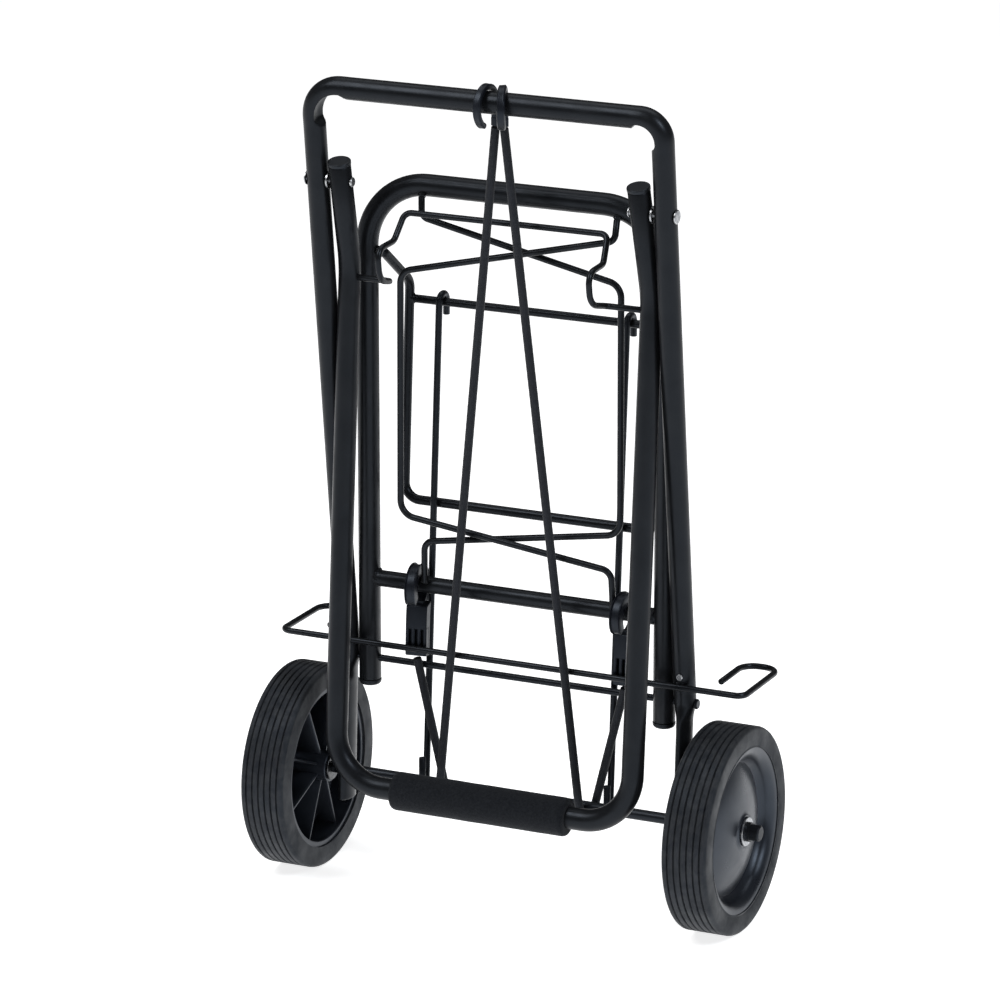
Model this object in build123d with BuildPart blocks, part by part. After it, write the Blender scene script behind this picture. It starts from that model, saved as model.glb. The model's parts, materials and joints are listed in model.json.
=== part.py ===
from build123d import *
from math import cos, radians, sin, sqrt
import os

# Folding luggage trolley, folded: millimetres, +X right, +Y to the back, +Z up.
# The origin is on the ground under the middle of the axle.

# tubes, rods and cords
TUBE_D = 16.0
TUBE_WALL = 1.2
CROSSBAR_D = 12.0
AXLE_D = 8.0
STAND_D = 7.0
CROSS_ROD_D = 6.0
PIVOT_D = 5.0
LINK_D = 5.0
GRID_D = 4.75
BAIL_D = 4.5
HOOK_WIRE_D = 4.5
CORD_D = 6.2
FIT = 0.05  # radial clearance of a pin that turns in a hole
GAP = 0.3  # clearance between bodies that pass each other

# half widths, from the middle plane to each tube's centre
FRAME_X = 132.5
INNER_X = 116.0  # the handle and the platform, which nest inside the frame
STAND_X = 99.5
LINK_X = 73.0

# pivots and axes, as (y, z)
AXLE = (0.0, 75.0)
PLATFORM_PIVOT = (5.0, 162.5)
STAND_PIVOT = (5.0, 466.0)
LINK_PIVOT = (39.0, 424.5)
HANDLE_PIVOT = (-38.5, 525.0)
BAIL_PIVOT = (-24.5, 453.0)

# main frame
FRAME_TOP = (-46.2, 593.4)
FRAME_BEND = (4.5, 163.0)
FRAME_FOOT = (-1.6, 54.0)
FRAME_CORNERS_R = (22.0, 16.0)
FLAT_DEEP = 22.0
FLAT_THIN = 9.5
FLAT_LENGTH = 86.0
TRANSITION = 14.0
LEG_RIVET_Y = -6.1
LEG_RIVET_Z = 184.5
LEG_RIVET_D = 3.0

# platform
PLATFORM_Y = PLATFORM_PIVOT[0]
PLATFORM_TOP_Z = 517.4
PLATFORM_FOOT_Z = 146.0
PLATFORM_CORNER_R = 48.5
CROSSBAR_Z = 223.0
GRID_BACK_Y = -2.6
GRID_FRONT_Y = GRID_BACK_Y - GRID_D - 0.05

# handle
HANDLE_ENDS = ((-114.2, -41.4, 537.8), (114.1, -42.6, 542.4))  # left and right; they are cut unevenly
HANDLE_BEND = (-22.5, 462.0)
HANDLE_BAR = (-53.0, 85.3)
HANDLE_CORNER_R = 37.0
GRIP_D = 28.0
GRIP_LENGTH = 136.0

# wheels
WHEEL_R = 75.0
TYRE_INNER_X = 148.2
TYRE_OUTER_X = 182.2
TYRE_BORE_R = 60.0
TYRE_GROOVES = 6
RIBS = 8

# cargo hook wire, on the front of the frame
HOOK_WIRE_Y = -7.6
HOOK_WIRE_Z = 177.5
LOOP_X = 181.5
LOOP_BACK_Y = 60.0
LOOP_END = (154.5, 16.0)

# bungee cords: each runs from the frame's top bar, under the axle, up to the crossbar
TOP_HOOKS = {"left": (1.2, -3.0), "right": (13.5, 20.0)}  # x, and turn about Z in degrees
TOP_HOOK_IN = 11.2
TOP_HOOK_WIDE = 6.7
TOP_HOOK_THICK = 4.8
TOP_SHANK = 16.0
# x at the crossbar, x where the cord goes in, and turn about the shank in degrees
LOW_HOOKS = {"left": (-76.6, -75.0, 6.0), "right": (87.6, 88.4, -6.0)}
LOW_EXIT = (-1.75, 171.0)
AXLE_TURNS = {"left": (-54.8, -57.2), "right": (57.5, 59.5)}  # x before and behind the axle
LOW_RING_IN = 10.3
LOW_RING_OUT = 17.5
LOW_RING_WIDE = 8.0
SHANK_WIDE = 16.0
SHANK_DEEP = 8.0

os.makedirs("parts", exist_ok=True)


def save(piece, label):
    piece.part.label = label
    export_step(piece.part, f"parts/{label}.step")


def bent(points, radii, diameter, wall=0.0):
    """A round bar, or a tube with a wall, along straight runs joined by tangent arcs."""
    with BuildPart() as bar:
        with BuildLine() as path:
            if len(points) > 2:
                FilletPolyline(*points, radius=radii)
            else:
                Line(*points)
        with BuildSketch(Plane(origin=path.line @ 0, z_dir=path.line % 0)):
            Circle(diameter / 2)
            if wall:
                Circle(diameter / 2 - wall, mode=Mode.SUBTRACT)
        sweep()
    return bar


def at(x, place):
    """A point on the plane at x, from a (y, z) place."""
    return (x, place[0], place[1])


def mirrored(points):
    """Half a path and its mirror image, as one path from left to right."""
    return [(-x, y, z) for x, y, z in points] + [(x, y, z) for x, y, z in reversed(points)]


def along_x(x, place, diameter, length, mode=Mode.ADD):
    """A round bar or hole along X, centred on x."""
    with Locations(at(x, place)):
        Cylinder(diameter / 2, length, rotation=(0, 90, 0), mode=mode)


def drill(x, place, diameter, length):
    along_x(x, place, diameter, length, Mode.SUBTRACT)


# ---------------------------------------------------------------- main frame
# one tube bent into an arch; below the platform pivot its legs are pressed flat
leg_dir = Vector(0, FRAME_BEND[0] - FRAME_FOOT[0], FRAME_BEND[1] - FRAME_FOOT[1]).normalized()
flat_top = Vector(0, *FRAME_FOOT) + leg_dir * FLAT_LENGTH
round_end = flat_top + leg_dir * TRANSITION

frame_half = [(FRAME_X, round_end.Y, round_end.Z), at(FRAME_X, FRAME_BEND), at(FRAME_X, FRAME_TOP)]
arch = bent(mirrored(frame_half), [60, *FRAME_CORNERS_R, 60], TUBE_D, TUBE_WALL)


def pressed_leg(x, inset):
    """The flat foot of one leg and its change to a round tube, all of it inset by a wall."""
    top, middle, foot = (Plane((x, p.Y, p.Z), x_dir=(1, 0, 0), z_dir=leg_dir)
                         for p in (round_end, flat_top, Vector(0, *FRAME_FOOT)))
    with BuildPart() as leg:
        with BuildSketch(middle):
            SlotOverall(FLAT_DEEP - 2 * inset, FLAT_THIN - 2 * inset, rotation=90)
        with BuildSketch(top):
            Circle(TUBE_D / 2 - inset)
        loft()
        with BuildSketch(foot):
            SlotOverall(FLAT_DEEP - 2 * inset, FLAT_THIN - 2 * inset, rotation=90)
        extrude(amount=FLAT_LENGTH)
    return leg.part


legs = {x: (pressed_leg(x, 0), pressed_leg(x, TUBE_WALL)) for x in (-FRAME_X, FRAME_X)}
with BuildPart() as main_frame:
    add(arch.part)
    for x, (outside, inside) in legs.items():
        add(outside)
        add(inside, mode=Mode.SUBTRACT)
        drill(x, AXLE, AXLE_D + 2 * FIT, 2 * TUBE_D)
        drill(x, PLATFORM_PIVOT, PIVOT_D + 2 * FIT, 2 * TUBE_D)
        drill(x, HANDLE_PIVOT, PIVOT_D + 2 * FIT, 2 * TUBE_D)
        with Locations(Plane((x, LEG_RIVET_Y, LEG_RIVET_Z), z_dir=(0, 1, 0))):
            Cylinder(LEG_RIVET_D / 2 + FIT, 3.0, mode=Mode.SUBTRACT)
save(main_frame, "main_frame")

for side, sign in (("left", -1), ("right", 1)):
    with BuildPart(Plane((sign * FRAME_X, LEG_RIVET_Y, LEG_RIVET_Z), z_dir=(0, -1, 0))) as leg_rivet:
        Cylinder(LEG_RIVET_D / 2, 1.8, align=(Align.CENTER, Align.CENTER, Align.CENTER))
        with Locations((0, 0, 0.35)):
            Cylinder(2.4, 1.0, align=(Align.CENTER, Align.CENTER, Align.MIN))
        fillet(leg_rivet.faces().sort_by(Axis.Y)[0].edges(), 0.8)
    save(leg_rivet, f"leg_rivet_{side}")

# ---------------------------------------------------------------- axle and its fittings
AXLE_END_X = 191.5
with BuildPart() as axle:
    along_x(0, AXLE, AXLE_D, 2 * AXLE_END_X)
    chamfer(axle.edges().filter_by(GeomType.CIRCLE), 0.6)
save(axle, "axle")

OUTER_WASHER = (181.9, 183.3, 21.0)  # inner face, outer face, diameter
INNER_WASHER = (144.2, 145.6, 19.0)
for name, (near, far, wide) in (("outer_washer", OUTER_WASHER), ("inner_washer", INNER_WASHER)):
    for side, sign in (("left", -1), ("right", 1)):
        with BuildPart() as washer:
            along_x(sign * (near + far) / 2, AXLE, wide, far - near)
            chamfer(washer.edges().filter_by(GeomType.CIRCLE), 0.3)
            drill(sign * (near + far) / 2, AXLE, AXLE_D + 2 * FIT, 4 * (far - near))
        save(washer, f"{name}_{side}")

CAP_FLANGE = (183.3, 186.0, 14.0)
CAP_NOSE = (186.0, 193.3, 11.5)
for side, sign in (("left", -1), ("right", 1)):
    with BuildPart() as axle_cap:
        for near, far, wide in (CAP_FLANGE, CAP_NOSE):
            along_x(sign * (near + far) / 2, AXLE, wide, far - near)
        tip = axle_cap.faces().sort_by(Axis.X)[-1 if sign > 0 else 0]
        chamfer(tip.edges(), 1.0)
        drill(sign * (CAP_FLANGE[0] + AXLE_END_X) / 2, AXLE, AXLE_D, AXLE_END_X - CAP_FLANGE[0])
    save(axle_cap, f"axle_cap_{side}")

# ---------------------------------------------------------------- platform pivot rod and hook wire
PIVOT_END_X = FRAME_X + TUBE_D / 2
with BuildPart() as platform_pivot_rod:
    along_x(0, PLATFORM_PIVOT, PIVOT_D, 2 * PIVOT_END_X)
    for x in (-PIVOT_END_X - 0.9, PIVOT_END_X + 0.9):
        along_x(x, PLATFORM_PIVOT, PIVOT_D + 2.4, 1.8)
    chamfer(platform_pivot_rod.edges().filter_by(GeomType.CIRCLE).sort_by(Axis.X)[-1], 0.7)
    chamfer(platform_pivot_rod.edges().filter_by(GeomType.CIRCLE).sort_by(Axis.X)[0], 0.7)
save(platform_pivot_rod, "platform_pivot_rod")

# the loops at both sides lie level and hold the hooks of a bungee cord
hook_half = [
    (LOOP_END[0], LOOP_END[1], HOOK_WIRE_Z),
    (LOOP_END[0], LOOP_BACK_Y, HOOK_WIRE_Z),
    (LOOP_X, LOOP_BACK_Y, HOOK_WIRE_Z),
    (LOOP_X, HOOK_WIRE_Y, HOOK_WIRE_Z),
]
hook_wire = bent(mirrored(hook_half), [12, 12, 7, 7, 12, 12], HOOK_WIRE_D)
save(hook_wire, "hook_wire")

# ---------------------------------------------------------------- handle rivets, frame side
RIVET_HEAD_X = FRAME_X + TUBE_D / 2
HANDLE_TOP_X = HANDLE_ENDS[1][0]
RIVET_TAIL_X = HANDLE_TOP_X - TUBE_D / 2 - 0.1
HEAD_THICK = 1.1
WASHER_X = (FRAME_X + HANDLE_TOP_X) / 2 + 0.2
for side, sign in (("left", -1), ("right", 1)):
    with BuildPart() as rivet:
        along_x(sign * (RIVET_HEAD_X + RIVET_TAIL_X) / 2, HANDLE_PIVOT, PIVOT_D,
                RIVET_HEAD_X - RIVET_TAIL_X + 1.0)
        along_x(sign * (RIVET_HEAD_X + HEAD_THICK / 2), HANDLE_PIVOT, 10.0, HEAD_THICK)
        along_x(sign * (RIVET_TAIL_X - HEAD_THICK / 2), HANDLE_PIVOT, 7.0, HEAD_THICK)
        for end in (0, -1):
            chamfer(rivet.edges().filter_by(GeomType.CIRCLE).sort_by(Axis.X)[end], 0.5)
    save(rivet, f"handle_rivet_{side}")
    with BuildPart() as spacer:
        along_x(sign * WASHER_X, HANDLE_PIVOT, 12.0, 1.2)
        drill(sign * WASHER_X, HANDLE_PIVOT, PIVOT_D + 2 * FIT, 4.0)
    save(spacer, f"handle_washer_{side}")

# ---------------------------------------------------------------- handle
handle_middle = mirrored([at(INNER_X, HANDLE_BEND), at(INNER_X, HANDLE_BAR)])
handle_path = [HANDLE_ENDS[0], *handle_middle, HANDLE_ENDS[1]]
handle_bend = bent(handle_path, [70, HANDLE_CORNER_R, HANDLE_CORNER_R, 70], TUBE_D, TUBE_WALL)
with BuildPart() as handle_tube:
    add(handle_bend.part)
    for sign in (-1, 1):
        drill(sign * INNER_X, HANDLE_PIVOT, PIVOT_D + 2 * FIT, 2 * TUBE_D)
        drill(sign * (INNER_X - TUBE_D / 2), BAIL_PIVOT, BAIL_D + 2 * FIT, TUBE_D)
save(handle_tube, "handle_tube")

PLUG_D = TUBE_D - 2 * TUBE_WALL - 0.04
for side, end, sign in (("left", HANDLE_ENDS[0], -1), ("right", HANDLE_ENDS[1], 1)):
    handle_top = Vector(end)
    handle_up = (handle_top - Vector(at(sign * INNER_X, HANDLE_BEND))).normalized()
    with BuildPart() as handle_cap:
        with BuildSketch(Plane(handle_top, z_dir=handle_up)):
            Circle(TUBE_D / 2 + 0.3)
        extrude(amount=2.6)
        fillet(handle_cap.faces().sort_by(Axis.Z)[-1].edges(), 0.8)
        with BuildSketch(Plane(handle_top, z_dir=handle_up)):
            Circle(PLUG_D / 2)
        extrude(amount=-6.0)
    save(handle_cap, f"handle_end_cap_{side}")

with BuildPart() as foam_grip:
    along_x(0, HANDLE_BAR, GRIP_D, GRIP_LENGTH)
    fillet(foam_grip.edges().filter_by(GeomType.CIRCLE), 3.0)
    drill(0, HANDLE_BAR, TUBE_D + 2 * FIT, 2 * GRIP_LENGTH)
save(foam_grip, "foam_grip")

# ---------------------------------------------------------------- lock bail
# a sprung wire; its two hooks close over the frame's top bar when the handle is up
bail_half = [
    (INNER_X - 5.0, BAIL_PIVOT[0], BAIL_PIVOT[1]),
    (82.5, BAIL_PIVOT[0], BAIL_PIVOT[1]),
    (80.5, -47.5, 458.5),
    (80.5, -51.0, 481.5),
    (80.2, -25.0, 482.5),
    (77.8, -12.0, 500.5),
]
lock_bail = bent(mirrored(bail_half), [6, 14, 8, 7, 6, 6, 7, 8, 14, 6], BAIL_D)
save(lock_bail, "lock_bail")

# ---------------------------------------------------------------- platform
platform_half = [(INNER_X, PLATFORM_Y, PLATFORM_FOOT_Z), (INNER_X, PLATFORM_Y, PLATFORM_TOP_Z)]
platform_bend = bent(mirrored(platform_half), [PLATFORM_CORNER_R] * 2, TUBE_D, TUBE_WALL)
with BuildPart() as platform_tube:
    add(platform_bend.part)
    for sign in (-1, 1):
        drill(sign * INNER_X, PLATFORM_PIVOT, PIVOT_D + 2 * FIT, 2 * TUBE_D)
        drill(sign * (INNER_X - TUBE_D / 2), STAND_PIVOT, STAND_D + 2 * FIT, TUBE_D)
save(platform_tube, "platform_tube")

for side, sign in (("left", -1), ("right", 1)):
    with BuildPart() as platform_cap:
        with BuildSketch(Plane((sign * INNER_X, PLATFORM_Y, PLATFORM_FOOT_Z))):
            Circle(TUBE_D / 2 + 0.2)
        extrude(amount=-4.0)
        fillet(platform_cap.faces().sort_by(Axis.Z)[0].edges(), 3.0)
        with BuildSketch(Plane((sign * INNER_X, PLATFORM_Y, PLATFORM_FOOT_Z))):
            Circle(PLUG_D / 2)
        extrude(amount=9.0)
    save(platform_cap, f"platform_end_cap_{side}")

# the crossbar's ends are cut to the round of the platform's legs
with BuildPart() as crossbar:
    along_x(0, (PLATFORM_Y, CROSSBAR_Z), CROSSBAR_D, 2 * INNER_X)
    along_x(0, (PLATFORM_Y, CROSSBAR_Z), CROSSBAR_D - 2 * TUBE_WALL, 2 * INNER_X, Mode.SUBTRACT)
    for sign in (-1, 1):
        with Locations((sign * INNER_X, PLATFORM_Y, CROSSBAR_Z)):
            Cylinder(TUBE_D / 2, 2 * CROSSBAR_D, mode=Mode.SUBTRACT)
save(crossbar, "crossbar")

# the two wires of the load grid cross each other twice and are welded there
GRID_END_Z = CROSSBAR_Z + 3.8


def grid_top(x):
    """Where a wire at x ends, below the top bend of the platform's tube."""
    into_corner = max(0.0, abs(x) + GRID_D / 2 - (INNER_X - PLATFORM_CORNER_R))
    drop = PLATFORM_CORNER_R - sqrt(PLATFORM_CORNER_R**2 - into_corner**2)
    return PLATFORM_TOP_Z - 6.6 - drop


grid_left = [
    (-69.4, GRID_BACK_Y, grid_top(69.4)),
    (-69.4, GRID_BACK_Y, 496.0),
    (84.0, GRID_BACK_Y, 462.5),
    (84.5, GRID_BACK_Y, 282.0),
    (-68.3, GRID_BACK_Y, 257.7),
    (-68.3, GRID_BACK_Y, GRID_END_Z),
]
grid_right = [
    (80.5, GRID_BACK_Y, grid_top(80.5)),
    (81.0, GRID_FRONT_Y, 494.8),
    (-84.0, GRID_FRONT_Y, 456.3),
    (-84.8, GRID_FRONT_Y, 277.3),
    (79.8, GRID_FRONT_Y, 256.0),
    (79.3, GRID_BACK_Y, GRID_END_Z),
]
for label, points in (("grid_wire_left", grid_left), ("grid_wire_right", grid_right)):
    save(bent(points, [6, 11, 12, 8], GRID_D), label)

# ---------------------------------------------------------------- stand
stand_half = [
    at(INNER_X - 3.0, STAND_PIVOT),
    at(INNER_X - TUBE_D / 2 - 4.5, STAND_PIVOT),
    (STAND_X, 40.0, 437.0),
    (STAND_X, 29.4, 277.7),
]
stand_leg = bent(mirrored(stand_half), [3.6, 12, 12, 12, 12, 3.6], STAND_D)
save(stand_leg, "stand_leg")

with BuildPart() as stand_cross_rod:
    along_x(0, LINK_PIVOT, CROSS_ROD_D, 2 * (STAND_X - STAND_D / 2) - 0.1)
save(stand_cross_rod, "stand_cross_rod")

# ---------------------------------------------------------------- links
# each hooks over the stand's cross rod; at the axle the hook is left open, a straight end
TOP_OFFSET = (CROSS_ROD_D + LINK_D) / 2 + GAP
LOW_OFFSET = (AXLE_D + LINK_D) / 2 + 1.8
LINK_TAIL = 10.5
LINK_OVERRUN = 7.0
low_start = (AXLE[0] + LOW_OFFSET, AXLE[1] - LINK_OVERRUN)
for side, sign in (("left", -1), ("right", 1)):
    hook_top = LINK_PIVOT[1] + TOP_OFFSET
    points = [
        at(sign * LINK_X, low_start),
        at(sign * LINK_X, (LINK_PIVOT[0] - TOP_OFFSET - 0.4, LINK_PIVOT[1] + 0.0)),
        at(sign * LINK_X, (LINK_PIVOT[0] - TOP_OFFSET, hook_top)),
        at(sign * LINK_X, (LINK_PIVOT[0] + TOP_OFFSET, hook_top)),
        at(sign * LINK_X, (LINK_PIVOT[0] + TOP_OFFSET, LINK_PIVOT[1] - LINK_TAIL)),
    ]
    save(bent(points, [10, 5.5, 5.5], LINK_D), f"link_rod_{side}")

# ---------------------------------------------------------------- wheels
middle_x = (TYRE_INNER_X + TYRE_OUTER_X) / 2
tyre_width = TYRE_OUTER_X - TYRE_INNER_X
wheel_axis = Axis((0, 0, AXLE[1]), (1, 0, 0))
wheel_plane = Plane((0, 0, AXLE[1]), x_dir=(1, 0, 0), z_dir=(0, -1, 0))

with BuildPart() as tyre_right:
    with BuildSketch(wheel_plane) as tyre_section:
        with Locations((middle_x, (WHEEL_R + TYRE_BORE_R) / 2)):
            Rectangle(tyre_width, WHEEL_R - TYRE_BORE_R)
        fillet(tyre_section.vertices().group_by(Axis.Z)[-1], 2.5)
        with Locations((middle_x, WHEEL_R)):
            with GridLocations(tyre_width / (TYRE_GROOVES + 1), 0, TYRE_GROOVES, 1):
                Rectangle(1.3, 2.4, mode=Mode.SUBTRACT)
    revolve(axis=wheel_axis)

BOSS_R = 11.0
BOSS_X = (146.0, 181.6)
RIM_R = TYRE_BORE_R - 0.02
with BuildPart() as hub_right:
    with BuildSketch(wheel_plane):
        with BuildLine():
            Line((149.5, RIM_R), (181.4, RIM_R))
            ThreePointArc((181.4, RIM_R), (179.4, 54.8), (173.8, 51.6))
            Line((173.8, 51.6), (170.6, 48.0))
            ThreePointArc((170.6, 48.0), (177.4, 31.0), (180.6, BOSS_R + 2.0))
            Polyline((180.6, BOSS_R + 2.0), (BOSS_X[1], BOSS_R), (BOSS_X[1], AXLE_D / 2 + FIT),
                     (BOSS_X[0], AXLE_D / 2 + FIT), (BOSS_X[0], BOSS_R), (177.4, BOSS_R))
            ThreePointArc((177.4, BOSS_R), (174.2, 31.0), (167.2, 50.0))
            Polyline((167.2, 50.0), (169.5, 55.6), (149.5, 55.6), (149.5, RIM_R))
        make_face()
    revolve(axis=wheel_axis)
    # thin ribs on the inner side, from the boss to the rim
    with BuildSketch(wheel_plane):
        with BuildLine():
            Polyline((152.0, BOSS_R - 1), (152.0, 56.5), (168.6, 56.5), (167.6, 49.5),
                     (174.6, 31.0), (177.8, BOSS_R - 1), close=True)
        make_face()
    ribs = extrude(amount=1.0, both=True, mode=Mode.PRIVATE)
    for i in range(RIBS):
        add(ribs.rotate(wheel_axis, 360 / RIBS * (i + 0.5)))

for name, right in (("tyre", tyre_right), ("wheel_hub", hub_right)):
    save(right, f"{name}_right")
    with BuildPart() as left:
        mirror(right.part, about=Plane.YZ, mode=Mode.ADD)
    save(left, f"{name}_left")

# ---------------------------------------------------------------- bungee hooks and cords
# a top hook is a flattened bar, bent round nearly to a ring; it hangs on the frame's top bar
TOP_HOOK_R = TOP_HOOK_IN + TOP_HOOK_THICK / 2
TOP_HOOK_CENTRE = (FRAME_TOP[0], FRAME_TOP[1] + TUBE_D / 2 + GAP - TOP_HOOK_IN)
for side, (x, turn) in TOP_HOOKS.items():
    plane = Plane(at(x, TOP_HOOK_CENTRE), x_dir=Vector(0, 1, 0).rotate(Axis.Z, turn),
                  z_dir=Vector(1, 0, 0).rotate(Axis.Z, turn))
    with BuildPart() as top_hook:
        with BuildLine(plane) as hook_path:
            CenterArc((0, 0), TOP_HOOK_R, 256, -256)
            Line((TOP_HOOK_R, 0), (TOP_HOOK_R, -TOP_SHANK))
        with BuildSketch(Plane(origin=hook_path.line @ 0, x_dir=plane.z_dir, z_dir=hook_path.line % 0)):
            Ellipse(TOP_HOOK_WIDE / 2, TOP_HOOK_THICK / 2)
        sweep()
    save(top_hook, f"top_hook_{side}")

# in the plane of a lower hook, x to the back and y up its shank, from the crossbar's centre
RING_HOLE = (-2.4, -3.1)
RING_BODY = (-3.5, -2.0)
RING_BACK = 10.2
for side, (x, exit_x, turn) in LOW_HOOKS.items():
    top = Vector(x, PLATFORM_Y, CROSSBAR_Z)
    shank = top - Vector(exit_x, *LOW_EXIT)
    up = shank.normalized()
    across = Vector(0, 1, 0).cross(up).normalized()
    plane = Plane(top, x_dir=up.cross(across), z_dir=across).rotated((0, turn, 0))
    with BuildPart() as low_hook:
        with BuildSketch(plane):
            with Locations(RING_BODY):
                Circle(LOW_RING_OUT)
            with Locations((RING_BACK, 0)):
                Rectangle(40, 80, align=(Align.MIN, Align.CENTER), mode=Mode.SUBTRACT)
            with BuildLine():
                Polyline(RING_BODY, (-40, -39), (-40, -60), (RING_BODY[0], -60), close=True)
            make_face(mode=Mode.SUBTRACT)
            with Locations(RING_HOLE):
                Circle(LOW_RING_IN, mode=Mode.SUBTRACT)
        extrude(amount=LOW_RING_WIDE / 2, both=True)
        with BuildSketch(plane):
            with BuildLine():
                Polyline((-3.4, -15.5), (5.0, -12.5), (SHANK_DEEP / 2, -shank.length),
                         (-SHANK_DEEP / 2, -shank.length), (-SHANK_DEEP / 2, -22.0), close=True)
            make_face()
        extrude(amount=SHANK_WIDE / 2, both=True)
    save(low_hook, f"lower_hook_{side}")

# the cord is stretched tight: long straight runs, and a turn of the axle's size under the axle
cord_start_z = TOP_HOOK_CENTRE[1] - TOP_SHANK - 1.0
turn_y = (AXLE_D + CORD_D) / 2 + GAP
turn_radius = (AXLE_D + CORD_D) / 2
for side, (x, turn) in TOP_HOOKS.items():
    route = [
        (x - TOP_HOOK_R * sin(radians(turn)), FRAME_TOP[0] + TOP_HOOK_R * cos(radians(turn)), cord_start_z),
        (AXLE_TURNS[side][0], AXLE[0] - turn_y - 0.9, AXLE[1] - turn_y),
        (AXLE_TURNS[side][1], AXLE[0] + turn_y + 0.9, AXLE[1] - turn_y),
        (LOW_HOOKS[side][1], LOW_EXIT[0] + 0.1, LOW_EXIT[1] - 2.0),
    ]
    cord = bent(route, [turn_radius] * 2, CORD_D)
    save(cord, f"bungee_cord_{side}")
    print(f"bungee_cord_{side}: radii {turn_radius} mm, volume {cord.part.volume:.0f} mm3")
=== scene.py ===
import json
from math import atan2, cos, exp, hypot, pi, radians, sin, sqrt, tan

import bmesh
import bpy
import numpy as np
from mathutils import Matrix, Vector


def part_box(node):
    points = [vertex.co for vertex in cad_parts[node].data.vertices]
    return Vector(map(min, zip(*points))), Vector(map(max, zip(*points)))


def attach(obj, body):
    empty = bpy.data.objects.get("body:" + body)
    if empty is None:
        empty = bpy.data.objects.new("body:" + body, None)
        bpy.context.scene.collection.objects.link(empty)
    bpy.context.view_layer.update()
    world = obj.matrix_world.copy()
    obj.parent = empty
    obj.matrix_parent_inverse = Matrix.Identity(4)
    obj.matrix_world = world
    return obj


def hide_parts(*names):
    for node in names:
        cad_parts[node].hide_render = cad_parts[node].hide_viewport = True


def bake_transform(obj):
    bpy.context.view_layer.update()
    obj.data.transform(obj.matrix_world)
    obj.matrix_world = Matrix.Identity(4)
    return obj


# Folding luggage trolley, folded: metres, +X right, +Y to the back, +Z up.
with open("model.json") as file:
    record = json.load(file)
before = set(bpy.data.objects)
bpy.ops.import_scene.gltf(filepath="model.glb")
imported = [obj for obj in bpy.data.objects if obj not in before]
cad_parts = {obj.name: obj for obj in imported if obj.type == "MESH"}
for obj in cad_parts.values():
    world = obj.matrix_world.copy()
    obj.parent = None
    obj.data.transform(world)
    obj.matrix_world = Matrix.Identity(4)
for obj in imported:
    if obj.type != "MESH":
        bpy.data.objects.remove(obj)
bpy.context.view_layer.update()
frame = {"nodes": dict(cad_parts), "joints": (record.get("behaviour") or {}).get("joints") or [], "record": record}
joints = {j["name"]: Vector(j["pos_m"]) for j in frame["joints"]}

# ---------------------------------------------------------------- sizes
TUBE_R = 0.008
WALL = 0.0012
TUBE_BORE = TUBE_R - WALL
HOOK_WIRE_R = 0.00225
BAIL_R = 0.00225
GRID_R = 0.002375
STAND_R = 0.0035
LINK_R = 0.0025
WIRE_EDGE = 0.0006
GAP = 0.0003
CORD_D = 0.0062

AXLE = joints["wheel_left_spin"]
PLATFORM_PIVOT = joints["platform_fold"]
STAND_PIVOT = joints["stand_swing"]
LINK_PIVOT = joints["link_swing"]
BAIL_PIVOT = joints["bail_swing"]
FRAME_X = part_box("main_frame")[1].x - TUBE_R
INNER_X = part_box("platform_tube")[1].x - TUBE_R
FRAME_TOP = Vector((FRAME_X, -0.0462, 0.5934))

# ---------------------------------------------------------------- materials
# the tint of the highlights on everything but bare metal
COOL_SHINE = (0.70, 0.82, 1.0, 1.0)


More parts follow.
